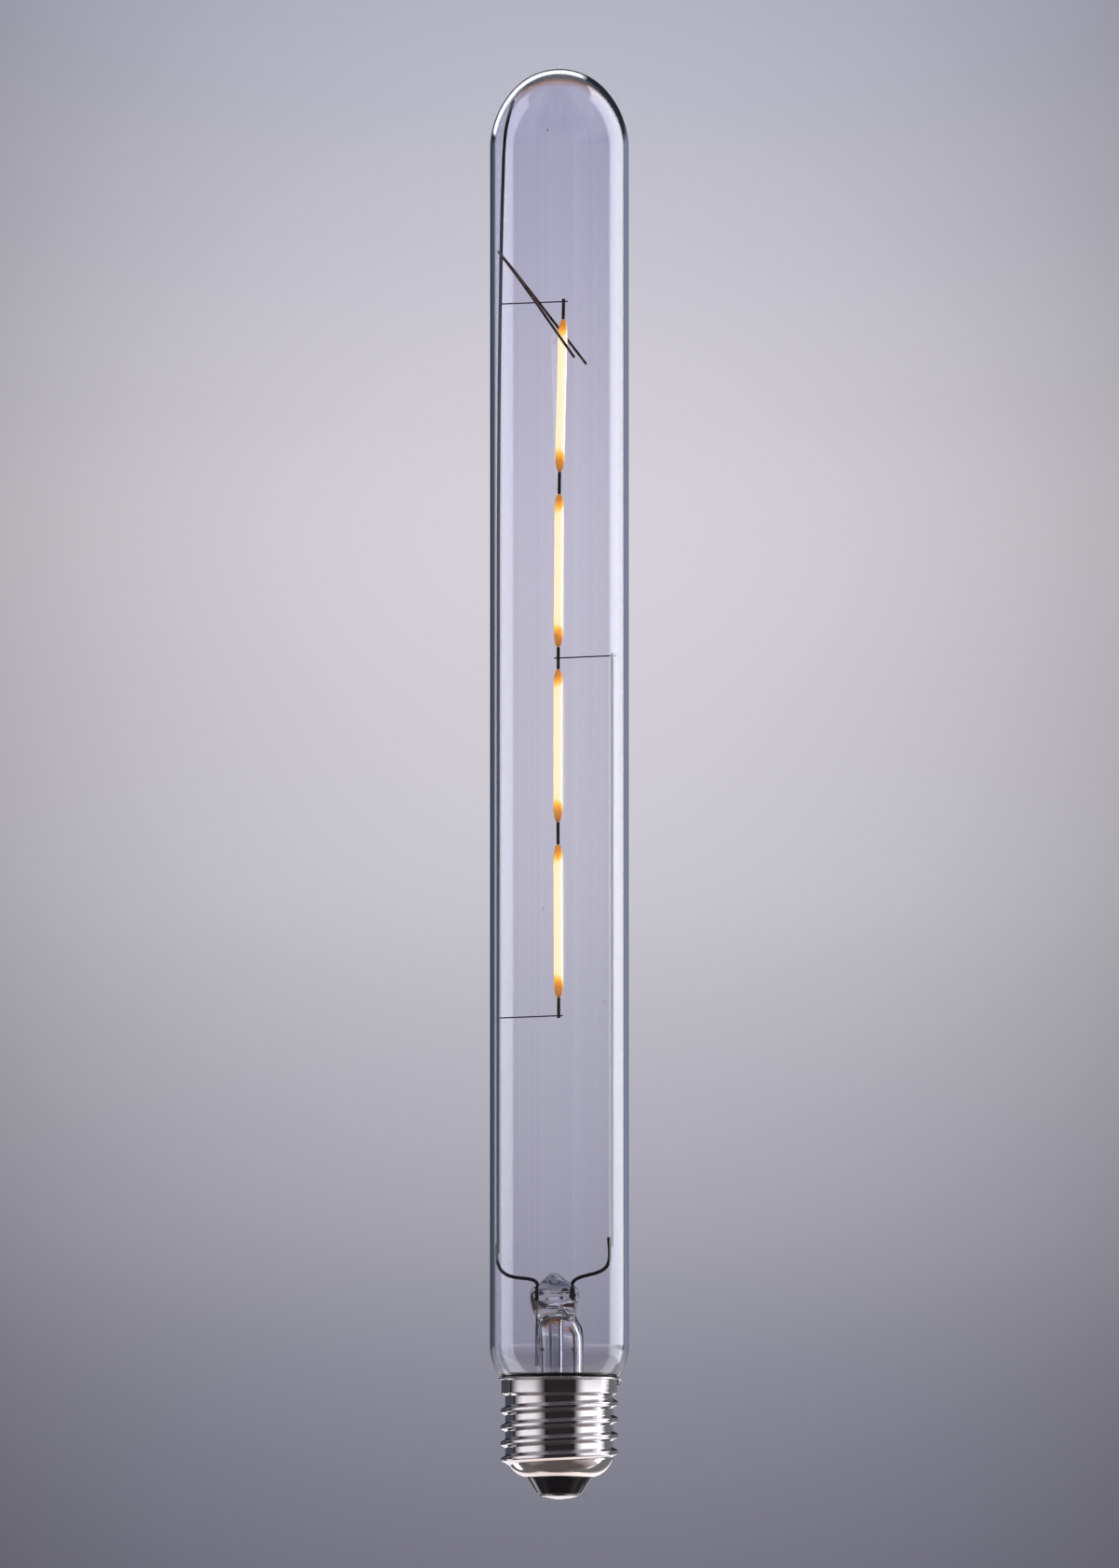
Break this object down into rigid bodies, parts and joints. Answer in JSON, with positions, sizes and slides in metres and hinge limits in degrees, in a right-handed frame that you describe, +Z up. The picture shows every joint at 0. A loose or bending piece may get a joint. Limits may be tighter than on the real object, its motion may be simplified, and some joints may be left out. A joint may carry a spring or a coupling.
{
  "type": "tubular filament light bulb",
  "caption": "Long clear glass tube lamp with a domed end, a line of lit filaments on wire supports and a screw cap with a centre contact.",
  "frame": {"origin": "tip of the centre contact, on the lamp's axis", "axes": "+Z up the axis from the contact to the dome, +X to the right in the picture, +Y away from the viewer"},
  "size_m": [0.031, 0.031, 0.3196],
  "materials": {
    "clear_glass": "clear polished soda-lime glass",
    "nickel_plate": "satin nickel plate on rolled sheet",
    "black_glass": "opaque black poured glass",
    "brass_plate": "stamped brass",
    "solder": "dull tin solder",
    "cement": "cured basing cement",
    "nickel_wire": "dark nickel wire",
    "copper_clad_wire": "copper-clad seal wire",
    "support_wire": "drawn steel wire",
    "phosphor": "phosphor-loaded silicone, lit",
    "tab_metal": "plated strip",
    "circuit_board": "glass-epoxy laminate",
    "capacitor_sleeve": "shrink sleeve",
    "chip_case": "moulded epoxy",
    "resistor_body": "coated ceramic",
    "tinned_wire": "tinned copper wire"
  },
  "bodies": {
    "root": {"glass_tube": "clear_glass", "stem": "clear_glass", "exhaust_tube": "clear_glass", "screw_shell": "nickel_plate", "insulator": "black_glass", "contact_plate": "brass_plate", "contact_solder": "solder", "side_solder": "solder", "basing_cement": "cement", "left_inner_lead": "nickel_wire", "right_inner_lead": "nickel_wire", "left_outer_lead": "nickel_wire", "right_outer_lead": "nickel_wire", "left_seal_wire": "copper_clad_wire", "right_seal_wire": "copper_clad_wire", "left_support_rod": "support_wire", "right_support_rod": "support_wire", "top_arm": "support_wire", "middle_arm": "support_wire", "bottom_arm": "support_wire", "filament_guide": "support_wire", "filament_1": "phosphor", "filament_2": "phosphor", "filament_3": "phosphor", "filament_4": "phosphor", "filament_1_top_tab": "tab_metal", "filament_1_bottom_tab": "tab_metal", "filament_2_top_tab": "tab_metal", "filament_2_bottom_tab": "tab_metal", "filament_3_top_tab": "tab_metal", "filament_3_bottom_tab": "tab_metal", "filament_4_top_tab": "tab_metal", "filament_4_bottom_tab": "tab_metal", "driver_board": "circuit_board", "capacitor": "capacitor_sleeve", "rectifier": "chip_case", "driver_chip": "chip_case", "current_resistor": "resistor_body", "bleed_resistor": "resistor_body", "fuse_resistor": "resistor_body", "neutral_wire": "tinned_wire"}
  },
  "joints": []
}
